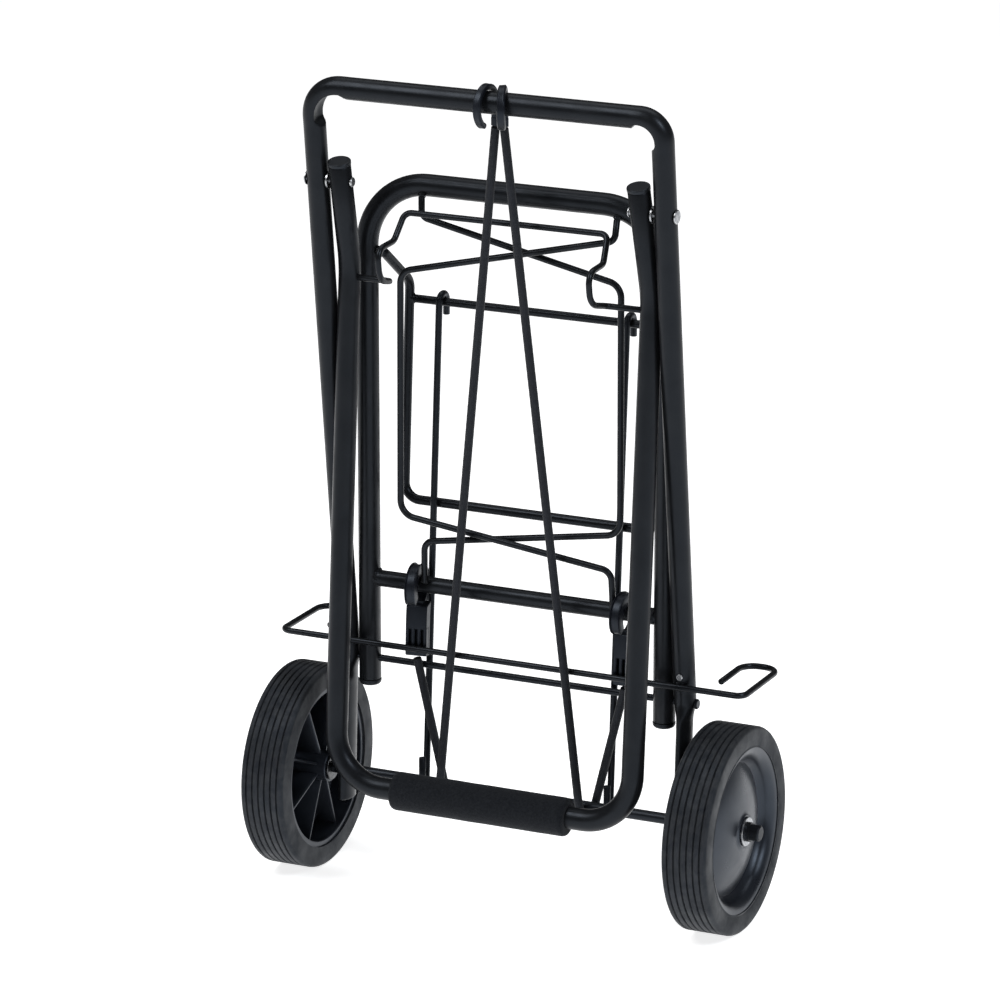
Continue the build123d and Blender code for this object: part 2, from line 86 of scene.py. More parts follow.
class Nodes:
    """One procedural material: its principled shader and the textures that feed it."""

    def __init__(self, name, base, roughness, metallic=0.0, coat=0.0, sheen=0.0, specular=0.5):
        self.material = bpy.data.materials.new(name)
        self.material.use_nodes = True
        self.tree = self.material.node_tree
        self.shader = self.tree.nodes["Principled BSDF"]
        self.set("Base Color", (*base, 1))
        self.set("Roughness", roughness)
        self.set("Metallic", metallic)
        self.set("Coat Weight", coat)
        self.set("Coat Roughness", 0.25)
        self.set("Sheen Weight", sheen)
        self.set("Sheen Roughness", 0.5)
        self.set("IOR", 1.5)
        self.set("Specular IOR Level", specular)
        if metallic < 0.5:
            self.set("Specular Tint", COOL_SHINE)
        self.material.diffuse_color = (*base, 1)
        self.coordinates = self.new("ShaderNodeTexCoord")
        self.last_normal = None

    def new(self, kind):
        return self.tree.nodes.new(kind)

    def link(self, a, b):
        self.tree.links.new(a, b)

    def set(self, socket, value):
        self.shader.inputs[socket].default_value = value

    def noise(self, scale, detail=4.0, stretch=(1, 1, 1), distortion=0.0):
        mapping = self.new("ShaderNodeMapping")
        mapping.inputs["Scale"].default_value = stretch
        self.link(self.coordinates.outputs["Object"], mapping.inputs["Vector"])
        noise = self.new("ShaderNodeTexNoise")
        noise.inputs["Scale"].default_value = scale
        noise.inputs["Detail"].default_value = detail
        noise.inputs["Distortion"].default_value = distortion
        self.link(mapping.outputs["Vector"], noise.inputs["Vector"])
        return noise.outputs["Fac"]

    def cells(self, scale):
        cells = self.new("ShaderNodeTexVoronoi")
        cells.inputs["Scale"].default_value = scale
        self.link(self.coordinates.outputs["Object"], cells.inputs["Vector"])
        return cells.outputs["Distance"]

    def ramp(self, value, low, high, at):
        """Two tones or two numbers, by a texture's value: low up to at[0] and high from at[1]."""
        node = self.new("ShaderNodeValToRGB")
        as_colour = [(*c, 1) if hasattr(c, "__len__") else (c, c, c, 1) for c in (low, high)]
        for element, place, colour in zip(node.color_ramp.elements, at, as_colour):
            element.position = place
            element.color = colour
        self.link(value, node.inputs["Fac"])
        return node.outputs["Color"]

    def colour(self, value, low, high, at=(0.0, 1.0)):
        self.link(self.ramp(value, low, high, at), self.shader.inputs["Base Color"])

    def rough(self, value, low, high, at=(0.0, 1.0)):
        self.link(self.ramp(value, low, high, at), self.shader.inputs["Roughness"])

    def bump(self, value, distance, strength=1.0):
        node = self.new("ShaderNodeBump")
        node.inputs["Distance"].default_value = distance
        node.inputs["Strength"].default_value = strength
        self.link(value, node.inputs["Height"])
        if self.last_normal:
            self.link(self.last_normal, node.inputs["Normal"])
        self.last_normal = node.outputs["Normal"]
        self.link(self.last_normal, self.shader.inputs["Normal"])


def enamel(name, roughness, peel):
    """Black stoving enamel: soft sheen, faint orange peel and dull scuffs."""
    m = Nodes(name, (0.0034, 0.0038, 0.0050), roughness, coat=0.04, specular=0.18)
    m.colour(m.noise(38, 6), (0.0048, 0.0052, 0.0060), (0.0088, 0.0093, 0.0102), (0.35, 0.75))
    m.rough(m.noise(70, 8, distortion=0.6), roughness - 0.05, roughness + 0.13, (0.35, 0.8))
    m.bump(m.noise(peel, 2), 0.00012, 0.22)
    m.bump(m.noise(2600, 2), 0.00002, 0.15)
    return m.material


def bright_zinc(name="bright_zinc", level=1.0):
    """Zinc-plated steel, cloudy and lightly scratched; a low level gives a darker copy of it, as painted shade."""
    m = Nodes(name, (0.34 * level, 0.35 * level, 0.36 * level), 0.34, metallic=1.0)
    dark = tuple(c * level for c in (0.20, 0.21, 0.23))
    light = tuple(c * level for c in (0.50, 0.51, 0.52))
    m.colour(m.noise(420, 5), dark, light, (0.3, 0.7))
    m.rough(m.noise(900, 4), 0.2, 0.42, (0.3, 0.75))
    m.bump(m.noise(1500, 3, stretch=(1, 1, 6)), 0.00004, 0.35)
    return m.material


def rod_finish():
    """Black-finished steel rod: a thin dull coat, uneven in tone, with fine lines in it."""
    m = Nodes("black_rod", (0.010, 0.0105, 0.012), 0.36, metallic=0.10, coat=0.04, specular=0.26)
    streaks = m.noise(120, 6, stretch=(0.3, 1, 1))
    m.colour(streaks, (0.0045, 0.0050, 0.0062), (0.0095, 0.0102, 0.0120), (0.35, 0.75))
    m.rough(m.noise(300, 5, stretch=(0.15, 1, 1)), 0.28, 0.5, (0.3, 0.75))
    m.bump(m.noise(700, 3, stretch=(0.05, 1, 1)), 0.00004, 0.3)
    return m.material


def moulded(name, base, roughness, grain, specular=0.3):
    """Moulded plastic: fine spark-eroded grain, slight flow marks and rub marks."""
    m = Nodes(name, base, roughness, specular=specular)
    light = tuple(c * 1.55 for c in base)
    m.colour(m.noise(26, 5, distortion=0.8), base, light, (0.35, 0.8))
    m.rough(m.noise(60, 7, distortion=0.4), roughness - 0.06, roughness + 0.12, (0.3, 0.8))
    m.bump(m.noise(grain, 3), 0.00005, 0.3)
    return m.material


def tyre_rubber():
    """Solid rubber: grey bloom, fine scuffs and a stippled skin."""
    m = Nodes("tyre_rubber", (0.010, 0.0108, 0.0130), 0.60, sheen=0.05, specular=0.30)
    bloom = m.noise(120, 9, distortion=0.9)
    m.colour(bloom, (0.0070, 0.0080, 0.0100), (0.0225, 0.0236, 0.0250), (0.36, 0.70))
    m.rough(m.noise(52, 6), 0.46, 0.80, (0.3, 0.75))
    m.bump(m.noise(1100, 4), 0.00009, 0.4)
    m.bump(m.noise(90, 4), 0.0004, 0.18)
    return m.material


def foam():
    """Closed-cell foam: small open cells in a dull skin."""
    m = Nodes("foam", (0.007, 0.0073, 0.008), 0.92, sheen=0.07, specular=0.20)
    m.colour(m.noise(600, 5), (0.0038, 0.0043, 0.0055), (0.0100, 0.0108, 0.0128), (0.35, 0.7))
    m.bump(m.cells(1500), 0.00035, 0.65)
    m.bump(m.noise(240, 5), 0.0004, 0.3)
    return m.material


def braid():
    """Braided cover: dull, mottled yarns. The mesh gives them their relief."""
    m = Nodes("braid", (0.010, 0.0105, 0.0125), 0.7, sheen=0.12, specular=0.22)
    m.colour(m.noise(1800, 3), (0.006, 0.0064, 0.008), (0.026, 0.027, 0.031), (0.4, 0.78))
    m.rough(m.noise(900, 3), 0.55, 0.85)
    m.bump(m.noise(4200, 2), 0.0001, 0.5)
    return m.material


ENAMEL = enamel("black_enamel", 0.33, 900)
WIRE_ENAMEL = enamel("black_wire_enamel", 0.30, 1300)
ZINC = bright_zinc()
# a darker copy of the zinc: painted shade for the inner washers between the legs
SHADED_ZINC = bright_zinc("shaded_zinc", 0.28)
ROD = rod_finish()
CAP = moulded("cap_plastic", (0.0055, 0.0058, 0.0065), 0.42, 2200)
HOOK = moulded("hook_plastic", (0.0042, 0.0048, 0.0068), 0.36, 2600, specular=0.30)
HUB = moulded("hub_plastic", (0.0085, 0.0098, 0.0130), 0.32, 1900, specular=0.52)
RUBBER = tyre_rubber()
FOAM = foam()
BRAID = braid()
SLOT_MATERIALS = {
    "black_enamel": ENAMEL, "black_wire": WIRE_ENAMEL, "zinc_rod": ROD, "bright_zinc": ZINC,
    "cap_plastic": CAP, "foam": FOAM, "hub_plastic": HUB, "tyre_rubber": RUBBER, "cord": BRAID,
    "hook_plastic": HOOK,
}

# ---------------------------------------------------------------- mesh tools


def link_object(name, mesh):
    obj = bpy.data.objects.new(name, mesh)
    bpy.context.scene.collection.objects.link(obj)
    return obj


def smooth_faces(mesh):
    mesh.polygons.foreach_set("use_smooth", [True] * len(mesh.polygons))


def mesh_object(name, points, faces, material):
    """A smooth-shaded mesh with its faces turned outward."""
    mesh = bpy.data.meshes.new(name)
    mesh.from_pydata([tuple(p) for p in points], [], faces)
    mesh.update()
    obj = link_object(name, mesh)
    work = bmesh.new()
    work.from_mesh(mesh)
    bmesh.ops.recalc_face_normals(work, faces=work.faces)
    work.to_mesh(mesh)
    work.free()
    mesh.materials.append(material)
    smooth_faces(mesh)
    return obj


def sharpen(obj, angle=35):
    """Flat where faces meet at more than the angle, smooth elsewhere."""
    work = bmesh.new()
    work.from_mesh(obj.data)
    for edge in work.edges:
        if len(edge.link_faces) == 2 and edge.calc_face_angle(0) > radians(angle):
            edge.smooth = False
    work.to_mesh(obj.data)
    work.free()
    return obj


def finish_piece(obj, body, slot, *nodes):
    """The piece moves with its body and stands for its CAD nodes; slot is not used."""
    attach(obj, body)
    if nodes:
        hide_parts(*nodes)
    return obj


def rounded(corners, radii, step=0.0, turn=radians(5)):
    """Straight runs joined by tangent arcs, as points; step divides the runs."""
    corners = [Vector(c) for c in corners]
    line = [corners[0]]
    for i, radius in enumerate(radii, 1):
        before = (corners[i - 1] - corners[i]).normalized()
        after = (corners[i + 1] - corners[i]).normalized()
        bend = pi - before.angle(after)
        reach = radius * tan(bend / 2)
        start, end = corners[i] + before * reach, corners[i] + after * reach
        centre = corners[i] + (before + after).normalized() * (radius / cos(bend / 2))
        steps = max(2, int(bend / turn))
        for k in range(steps + 1):
            a = start - centre
            b = end - centre
            share = k / steps
            point = a * (sin((1 - share) * bend) / sin(bend)) + b * (sin(share * bend) / sin(bend))
            line.append(centre + point)
    line.append(corners[-1])
    if not step:
        return line
    divided = [line[0]]
    for a, b in zip(line, line[1:]):
        parts = max(1, int((b - a).length / step))
        divided += [a.lerp(b, k / parts) for k in range(1, parts + 1)]
    return divided


def mirrored(points):
    """A left half made from the right one, then the right half, as one path from end to end."""
    return [Vector((-p[0], p[1], p[2])) for p in points] + [Vector(p) for p in reversed(points)]


def frames_along(line):
    """At each point: the point, a side, an up and a forward direction, carried along without twist."""
    tangents = []
    for i, p in enumerate(line):
        a, b = line[max(i - 1, 0)], line[min(i + 1, len(line) - 1)]
        tangents.append((b - a).normalized())
    side = Vector((1, 0, 0)) if abs(tangents[0].x) < 0.8 else Vector((0, 0, 1))
    side = (side - tangents[0] * side.dot(tangents[0])).normalized()
    result = []
    for i, (p, t) in enumerate(zip(line, tangents)):
        if i:
            side = (side - t * side.dot(t)).normalized()
        result.append((p, side.copy(), t.cross(side), t))
    return result


BORE_DEPTH = 0.012


def skin(rings, sides):
    """The faces of a solid made of rings of points: its sides and both ends."""
    faces = []
    for i in range(rings - 1):
        for k in range(sides):
            a, b = i * sides + k, i * sides + (k + 1) % sides
            faces.append((a, b, b + sides, a + sides))
    last = (rings - 1) * sides
    return faces + [tuple(range(sides)), tuple(range(last, last + sides))]


def tube(name, line, radius, material, sides=28, shape=None, edge=0.0008, bore=0.0):
    """A bar along a line. shape(distance, angle, point) gives its (across, up) scales. Its ends are
    chamfered by edge, and have a blind hole of radius bore if that is given."""
    line = [Vector(p) for p in line]
    frames = frames_along(line)
    distance, total = [0.0], 0.0
    for a, b in zip(line, line[1:]):
        total += (b - a).length
        distance.append(total)
    rings = [(frames[i], 1.0, distance[i]) for i in range(len(line))]
    first, last = rings[0], rings[-1]

    def moved(ring, along, scale):
        (p, s, u, t), _, d = ring
        return ((p + t * along, s, u, t), scale, d)

    shrink = (radius - edge) / radius
    start = [moved(first, 0, shrink), moved(first, edge, 1.0)]
    end = [moved(last, -edge, 1.0), moved(last, 0, shrink)]
    if bore:
        hole = bore / radius
        start = [moved(first, BORE_DEPTH, hole), moved(first, 0, hole)] + start
        end = end + [moved(last, 0, hole), moved(last, -BORE_DEPTH, hole)]
    rings = start + rings[1:-1] + end
    points = []
    for (p, s, u, _), scale, d in rings:
        for k in range(sides):
            angle = 2 * pi * k / sides
            wide, high = shape(d, angle, p) if shape else (1.0, 1.0)
            points.append(p + (s * cos(angle) * wide + u * sin(angle) * high) * radius * scale)
    return sharpen(mesh_object(name, points, skin(len(rings), sides), material), 50)


def piece_tube(name, line, radius, material, place, **how):
    """A tube that rides on a body and stands for one CAD node: place names the body, a slot and the node."""
    return finish_piece(tube(name, line, radius, material, **how), *place)


def lathe(name, profile, centre, material, steps=128):
    """A closed profile of (x, r) turned about an axis along X."""
    points, faces = [], []
    for k in range(steps):
        angle = 2 * pi * k / steps
        points += [Vector((x, centre.y + r * cos(angle), centre.z + r * sin(angle))) for x, r in profile]
    n = len(profile)
    for k in range(steps):
        for i in range(n):
            a, b = k * n + i, k * n + (i + 1) % n
            c, d = (k + 1) % steps * n + (i + 1) % n, (k + 1) % steps * n + i
            faces.append((a, b, c, d))
    return mesh_object(name, points, faces, material)


# ---------------------------------------------------------------- camera
AZIMUTH, ELEVATION = radians(25.0), radians(16.5)
DISTANCE = 3.8248
TARGET = Vector((-0.0099, 0.0, 0.2952))
LENS, SENSOR = 194.1, 36.0
back = Vector((sin(AZIMUTH) * cos(ELEVATION), -cos(AZIMUTH) * cos(ELEVATION), sin(ELEVATION)))
camera = link_object("camera", bpy.data.cameras.new("camera"))
camera.location = TARGET + back * DISTANCE
camera.rotation_euler = back.to_track_quat("Z", "Y").to_euler()
camera.data.sensor_width = SENSOR
camera.data.lens = LENS
camera.data.clip_end = 60.0
camera.data.dof.use_dof = False
bpy.context.scene.camera = camera

# ---------------------------------------------------------------- bungee cords
YARNS = 8
YARN_PITCH = 0.0125
YARN_RISE = 0.035
CORD_STEP = 0.0007
# the corners of the solids' routes, with one point more on each run that comes to the axle or leaves it
CORDS = {
    "left": [
        (0.0019, -0.0326, 0.5735),
        (-0.0506, -0.0103, 0.1050),
        (-0.0548, -0.0088, 0.0664),
        (-0.0572, 0.0086, 0.0664),
        (-0.0602, 0.0070, 0.0850),
        (-0.0750, -0.0016, 0.1690),
    ],
    "right": [
        (0.0088, -0.0334, 0.5735),
        (0.0539, -0.0103, 0.1050),
        (0.0575, -0.0088, 0.0664),
        (0.0595, 0.0086, 0.0664),
        (0.0644, 0.0070, 0.0850),
        (0.0884, -0.0016, 0.1690),
    ],
}


def smooth_line(route):
    """The route's NURBS line, as points read from it."""
    curve = bpy.data.curves.new("route", "CURVE")
    curve.dimensions = "3D"
    curve.resolution_u = 40
    spline = curve.splines.new("NURBS")
    spline.points.add(len(route) - 1)
    for point, place in zip(spline.points, route):
        point.co = (*place, 1)
    spline.order_u = 3
    spline.use_endpoint_u = True
    holder = link_object("route", curve)
    bpy.context.view_layer.update()
    mesh = bpy.data.meshes.new_from_object(holder)
    line = [v.co.copy() for v in mesh.vertices]
    bpy.data.objects.remove(holder)
    bpy.data.meshes.remove(mesh)
    return line


def even(line, step):
    """The same line, with its points a step apart."""
    distance = [0.0]
    for a, b in zip(line, line[1:]):
        distance.append(distance[-1] + (b - a).length)
    count = int(distance[-1] / step)
    places = np.linspace(0, distance[-1], count + 1)
    columns = [np.interp(places, distance, [p[i] for p in line]) for i in range(3)]
    return [Vector(p) for p in zip(*columns)]


def braided(name, line):
    """A cord with the relief of its braid: two sets of yarns that cross over and under."""

    def relief(distance, angle, _):
        lead = 2 * pi * distance / YARN_PITCH
        yarn = max(cos(YARNS * (angle + lead)), cos(YARNS * (angle - lead)))
        rise = 1 - YARN_RISE * (1 - yarn)
        return rise, rise

    return tube(name, line, CORD_D / 2, BRAID, sides=48, shape=relief, edge=0.0004)


for side, route in CORDS.items():
    line = even(smooth_line(route), CORD_STEP)
    length = sum((b - a).length for a, b in zip(line, line[1:]))
    cord = braided(f"bungee_{side}", line)
    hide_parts(f"bungee_cord_{side}")
    [tuple(p) for p in line[::4]]
    inner, outer = route[3][0], route[5][0]
    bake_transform(cord)

# ---------------------------------------------------------------- main frame
FRAME_BEND = Vector((FRAME_X, 0.0045, 0.163))
FRAME_FOOT = Vector((FRAME_X, -0.0016, 0.054))
FRAME_CORNERS_R = (0.022, 0.016)
LEG_BEND_R = 0.06
LEG_FLAT, LEG_WIDE = 0.00475, 0.011
LEG_PRESS_Z, LEG_PRESS_FADE = 0.165, 0.016
LEG_BORE = 0.0042
PRESS_DEEP = 0.0052
PRESS_FADE = 0.005
PRESS_HOLLOW, PRESS_BULGE = 0.10, 0.05


def eased(share):
    """From 0 to 1, with a soft start and end."""
    share = max(0.0, min(1.0, share))
    return share * share * (3 - 2 * share)


def main_frame():
    """One tube: its feet are pressed flat, and the inner side of both top bends is pressed in."""
    path = mirrored([FRAME_FOOT, FRAME_BEND, FRAME_TOP])
    line = rounded(path, [LEG_BEND_R, *FRAME_CORNERS_R, LEG_BEND_R], step=0.0015)

    def pressed(p):
        """How far the inner side is pressed in, from 0 on the runs to 1 along the bend."""
        radius = FRAME_CORNERS_R[0 if p.x < 0 else 1]
        run = max(FRAME_X - radius - abs(p.x), FRAME_TOP.z - radius - p.z)
        return eased(1.35 - run / PRESS_FADE)

    def shape(_, angle, p):
        flat = eased((LEG_PRESS_Z - p.z) / LEG_PRESS_FADE)
        wide, high = 1 + (LEG_FLAT / TUBE_R - 1) * flat, 1 + (LEG_WIDE / TUBE_R - 1) * flat
        if p.z > FRAME_TOP.z / 2:
            limit = (TUBE_R - PRESS_DEEP * pressed(p)) / TUBE_R
            # the wall that is pressed in leaves a shallow hollow, and the sides bulge a little
            if cos(angle) > limit:
                hollow = limit - PRESS_HOLLOW * (1 - limit) * cos(3 * angle)
                wide = min(1.0, hollow / max(cos(angle), 0.25))
            high = 1 + PRESS_BULGE * (1 - limit)
        return wide, high

    return tube("main_frame_tube", line, TUBE_R, ENAMEL, sides=48, shape=shape, bore=LEG_BORE)


finish_piece(main_frame(), "frame", "black_enamel", "main_frame")

# ---------------------------------------------------------------- wires on the frame
LOOP_IN_X, LOOP_OUT_X = 0.1545, 0.1815
LOOP_END_Y, LOOP_BACK_Y = 0.016, 0.060
WIRE_Y, WIRE_Z = -0.0076, 0.1775
hook_half = [
    (LOOP_IN_X, LOOP_END_Y, WIRE_Z), (LOOP_IN_X, LOOP_BACK_Y, WIRE_Z),
    (LOOP_OUT_X, LOOP_BACK_Y, WIRE_Z), (LOOP_OUT_X, WIRE_Y, WIRE_Z),
]
hook_line = rounded(mirrored(hook_half), [0.012, 0.012, 0.007, 0.007, 0.012, 0.012], turn=radians(6))
piece_tube("cargo_hook_wire", hook_line, HOOK_WIRE_R, WIRE_ENAMEL,
           ("frame", "black_wire", "hook_wire"), sides=20, edge=WIRE_EDGE)

# ---------------------------------------------------------------- handle and its grip
HANDLE_ENDS = (Vector((-0.1142, -0.0414, 0.5378)), Vector((0.1141, -0.0426, 0.5424)))
HANDLE_BEND = Vector((INNER_X, -0.0225, 0.462))
HANDLE_BAR = Vector((INNER_X, -0.053, 0.0853))
HANDLE_BEND_R, HANDLE_CORNER_R = 0.07, 0.037
handle_path = [HANDLE_ENDS[0], *mirrored([HANDLE_BEND, HANDLE_BAR]), HANDLE_ENDS[1]]
handle_radii = [HANDLE_BEND_R, HANDLE_CORNER_R, HANDLE_CORNER_R, HANDLE_BEND_R]
handle_line = rounded(handle_path, handle_radii, turn=radians(3))
piece_tube("handle_bar", handle_line, TUBE_R, ENAMEL,
           ("handle", "black_enamel", "handle_tube"), sides=40, bore=TUBE_BORE)

GRIP_HALF, GRIP_R = 0.068, 0.0139
GRIP_BORE = TUBE_R + 0.0002
GRIP_ROUND = 0.0035
GRIP_STATIONS = 90


def foam_grip():
    """A foam sleeve with rounded ends, a little uneven where hands have pressed it."""
    middle = [Vector((GRIP_HALF * k / GRIP_STATIONS, HANDLE_BAR.y, HANDLE_BAR.z))
              for k in range(-GRIP_STATIONS, GRIP_STATIONS + 1)]

    def shape(distance, angle, p):
        end = GRIP_HALF - abs(p.x)
        rounding = 1.0 if end > GRIP_ROUND else 1 - 0.10 * (1 - end / GRIP_ROUND) ** 2
        waves = 1 + 0.005 * sin(189 * distance + angle) * sin(angle * 2 + distance * 40)
        return rounding * waves, rounding * waves

    return tube("foam_sleeve", middle, GRIP_R, FOAM, sides=72, shape=shape, edge=0.0014, bore=GRIP_BORE)


grip = finish_piece(foam_grip(), "handle", "foam", "foam_grip")

# ---------------------------------------------------------------- lock bail
bail_half = [
    (INNER_X - 0.005, BAIL_PIVOT.y, BAIL_PIVOT.z),
    (0.0825, BAIL_PIVOT.y, BAIL_PIVOT.z),
    (0.0805, -0.0475, 0.4585),
    (0.0805, -0.0510, 0.4815),
    (0.0802, -0.0250, 0.4825),
    (0.0778, -0.0120, 0.5005),
]
bail_radii = [0.006, 0.014, 0.008, 0.007, 0.006]
bail_line = rounded(mirrored(bail_half), [*bail_radii, *reversed(bail_radii)], turn=radians(8))
piece_tube("bail_wire", bail_line, BAIL_R, WIRE_ENAMEL,
           ("bail", "black_wire", "lock_bail"), sides=20, edge=WIRE_EDGE)

# ---------------------------------------------------------------- platform
PLATFORM_TOP_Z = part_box("platform_tube")[1].z - TUBE_R
PLATFORM_END_Z = 0.146
PLATFORM_R = 0.0485
platform_half = [(INNER_X, PLATFORM_PIVOT.y, PLATFORM_END_Z), (INNER_X, PLATFORM_PIVOT.y, PLATFORM_TOP_Z)]
platform_line = rounded(mirrored(platform_half), [PLATFORM_R] * 2, turn=radians(3))
piece_tube("platform_bar", platform_line, TUBE_R, ENAMEL,
           ("platform", "black_enamel", "platform_tube"), sides=40, bore=TUBE_BORE)

# the two wires of the load grid lie one in front of the other, and touch where they cross
BACK_Y = -0.0026
FRONT_Y = BACK_Y - 2 * GRID_R - 0.00005
grid_left_box, grid_right_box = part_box("grid_wire_left"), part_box("grid_wire_right")
grid_left = [
    (-0.0694, BACK_Y, grid_left_box[1].z), (-0.0694, BACK_Y, 0.4960), (0.0840, BACK_Y, 0.4625),
    (0.0845, BACK_Y, 0.2820), (-0.0683, BACK_Y, 0.2577), (-0.0683, BACK_Y, grid_left_box[0].z),
]
grid_right = [
    (0.0805, BACK_Y, grid_right_box[1].z), (0.0810, FRONT_Y, 0.4948), (-0.0840, FRONT_Y, 0.4563),
    (-0.0848, FRONT_Y, 0.2773), (0.0798, FRONT_Y, 0.2560), (0.0793, BACK_Y, grid_right_box[0].z),
]
for side, corners in (("left", grid_left), ("right", grid_right)):
    line = rounded(corners, [0.006, 0.011, 0.012, 0.008], turn=radians(6))
    piece_tube(f"grid_{side}", line, GRID_R, WIRE_ENAMEL,
               ("platform", "black_wire", f"grid_wire_{side}"), sides=20, edge=WIRE_EDGE / 2)

# ---------------------------------------------------------------- stand and links
STAND_X = 0.0995
STAND_PIN_X = INNER_X - 0.003
STAND_TURN_X = INNER_X - TUBE_R - 0.0045
stand_half = [
    (STAND_PIN_X, STAND_PIVOT.y, STAND_PIVOT.z), (STAND_TURN_X, STAND_PIVOT.y, STAND_PIVOT.z),
    (STAND_X, 0.0400, 0.4370), (STAND_X, 0.0294, 0.2777),
]
stand_line = rounded(mirrored(stand_half), [0.0036, 0.012, 0.012, 0.012, 0.012, 0.0036], turn=radians(6))
piece_tube("stand_wire", stand_line, STAND_R, WIRE_ENAMEL,
           ("stand", "black_wire", "stand_leg"), sides=24, edge=WIRE_EDGE)

CROSS_ROD_R, AXLE_R = 0.003, 0.004
LINK_X = 0.073
TAIL_ASIDE = 0.005
TAIL_UP, TOP_TAIL = 0.021, 0.0105
TOP_OFFSET = CROSS_ROD_R + LINK_R + GAP
LOW_OFFSET = AXLE_R + LINK_R + 0.0018
for side, sign in (("left", -1), ("right", 1)):
    x = sign * LINK_X
    link_points = [
        (x + TAIL_ASIDE, AXLE.y - LOW_OFFSET, AXLE.z + TAIL_UP),
        (x + TAIL_ASIDE, AXLE.y - LOW_OFFSET, AXLE.z - LOW_OFFSET),
        (x, AXLE.y + LOW_OFFSET, AXLE.z - LOW_OFFSET),
        (x, LINK_PIVOT.y - TOP_OFFSET - 0.0004, LINK_PIVOT.z),
        (x, LINK_PIVOT.y - TOP_OFFSET, LINK_PIVOT.z + TOP_OFFSET),
        (x, LINK_PIVOT.y + TOP_OFFSET, LINK_PIVOT.z + TOP_OFFSET),
        (x, LINK_PIVOT.y + TOP_OFFSET, LINK_PIVOT.z - TOP_TAIL),
    ]
    line = rounded(link_points, [0.0075, 0.0075, 0.01, 0.0055, 0.0055], turn=radians(9))
    piece_tube(f"link_{side}", line, LINK_R, ROD,
               ("links", "zinc_rod", f"link_rod_{side}"), sides=20, edge=WIRE_EDGE / 2)

# ---------------------------------------------------------------- wheels
WHEEL_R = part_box("tyre_right")[1].y
TYRE_X = (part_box("tyre_right")[0].x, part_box("tyre_right")[1].x)
BORE_R = 0.060
GROOVES = 6
# across half a groove and down from the tread
GROOVE_HALF = ((0.0004, 0.0014), (0.0007, 0.0002), (0.0009, 0.0))
SHOULDER_R = 0.0028
SHOULDER_STEPS = 5


def tyre_profile():
    """Outline of (x, r): a tread with grooves, rounded shoulders, sidewalls with a moulded lip."""
    inner, outer = TYRE_X
    angles = [pi / 2 * k / SHOULDER_STEPS for k in range(1, SHOULDER_STEPS + 1)]
    shoulder = [(SHOULDER_R * (1 - cos(a)), WHEEL_R - SHOULDER_R * (1 - sin(a))) for a in angles]
    groove = [(-across, down) for across, down in reversed(GROOVE_HALF)] + list(GROOVE_HALF)
    outline = [(inner, BORE_R), (inner, BORE_R + 0.0012), (inner, WHEEL_R - SHOULDER_R)]
    outline += [(inner + x, r) for x, r in shoulder]
    pitch = (outer - inner) / (GROOVES + 1)
    for g in range(GROOVES):
        outline += [(inner + pitch * (g + 1) + across, WHEEL_R - down) for across, down in groove]
    outline += [(outer - x, r) for x, r in reversed(shoulder)]
    outline += [(outer, WHEEL_R - SHOULDER_R), (outer, BORE_R + 0.0022), (outer - 0.0004, BORE_R + 0.0016),
                (outer - 0.0004, BORE_R + 0.0010), (outer - 0.0001, BORE_R)]
    return outline


def arc_points(a, b, c, count):
    """Points from a to c on the circle through b."""
    (ax, ay), (bx, by), (cx, cy) = a, b, c
    aa, bb, cc = ax * ax + ay * ay, bx * bx + by * by, cx * cx + cy * cy
    d = 2 * (ax * (by - cy) + bx * (cy - ay) + cx * (ay - by))
    ux = (aa * (by - cy) + bb * (cy - ay) + cc * (ay - by)) / d
    uy = (aa * (cx - bx) + bb * (ax - cx) + cc * (bx - ax)) / d
    start, end = atan2(ay - uy, ax - ux), atan2(cy - uy, cx - ux)
    turn = (end - start + pi) % (2 * pi) - pi
    r = hypot(ax - ux, ay - uy)
    angles = [start + turn * k / count for k in range(count + 1)]
    return [(ux + r * cos(angle), uy + r * sin(angle)) for angle in angles]


def hub_profile():
    """Outline of (x, r): rim, bowl, domed web and boss, then the hollow inner side."""
    rim_r = BORE_R - 0.00002
    outline = [(0.1495, rim_r)]
    outline += arc_points((0.1814, rim_r), (0.1794, 0.0548), (0.1738, 0.0516), 8)
    outline += arc_points((0.1706, 0.0480), (0.1774, 0.0310), (0.1806, 0.0130), 16)
    outline += [(0.1816, 0.0118), (0.1816, 0.0042), (0.1460, 0.0042)]
    outline += [(0.1460, 0.0108), (0.1464, 0.0112), (0.1774, 0.0116)]
    outline += arc_points((0.1774, 0.0118), (0.1742, 0.0310), (0.1672, 0.0500), 8)
    outline += [(0.1695, 0.0556), (0.1500, 0.0558), (0.1495, 0.0564)]
    return outline


RIBS = 8
RIB_HALF = 0.0009
RIB_CHAMFER = 0.0008
# (radius, x of the free edge) from the boss to the rim
RIB_LINE = ((0.0105, 0.1520), (0.0300, 0.1527), (0.0565, 0.1535))
WEB_X, WEB_FROM_R, WEB_SLOPE = 0.1776, 0.012, 0.22


def rib(name, angle):
    """One thin rib with a chamfered free edge, from the boss to the rim."""
    points = []
    for r, free in RIB_LINE:
        web = WEB_X - max(0.0, r - WEB_FROM_R) * WEB_SLOPE
        half = [(free, RIB_HALF * 0.5), (free + RIB_CHAMFER, RIB_HALF), (web, RIB_HALF * 1.3)]
        ring = [(free, -RIB_HALF * 0.5), *half, *[(x, -across) for x, across in reversed(half[1:])]]
        for x, across in ring:
            y = r * cos(angle) - across * sin(angle)
            z = r * sin(angle) + across * cos(angle)
            points.append(Vector((x, AXLE.y + y, AXLE.z + z)))
    return sharpen(mesh_object(name, points, skin(len(RIB_LINE), 6), HUB), 40)


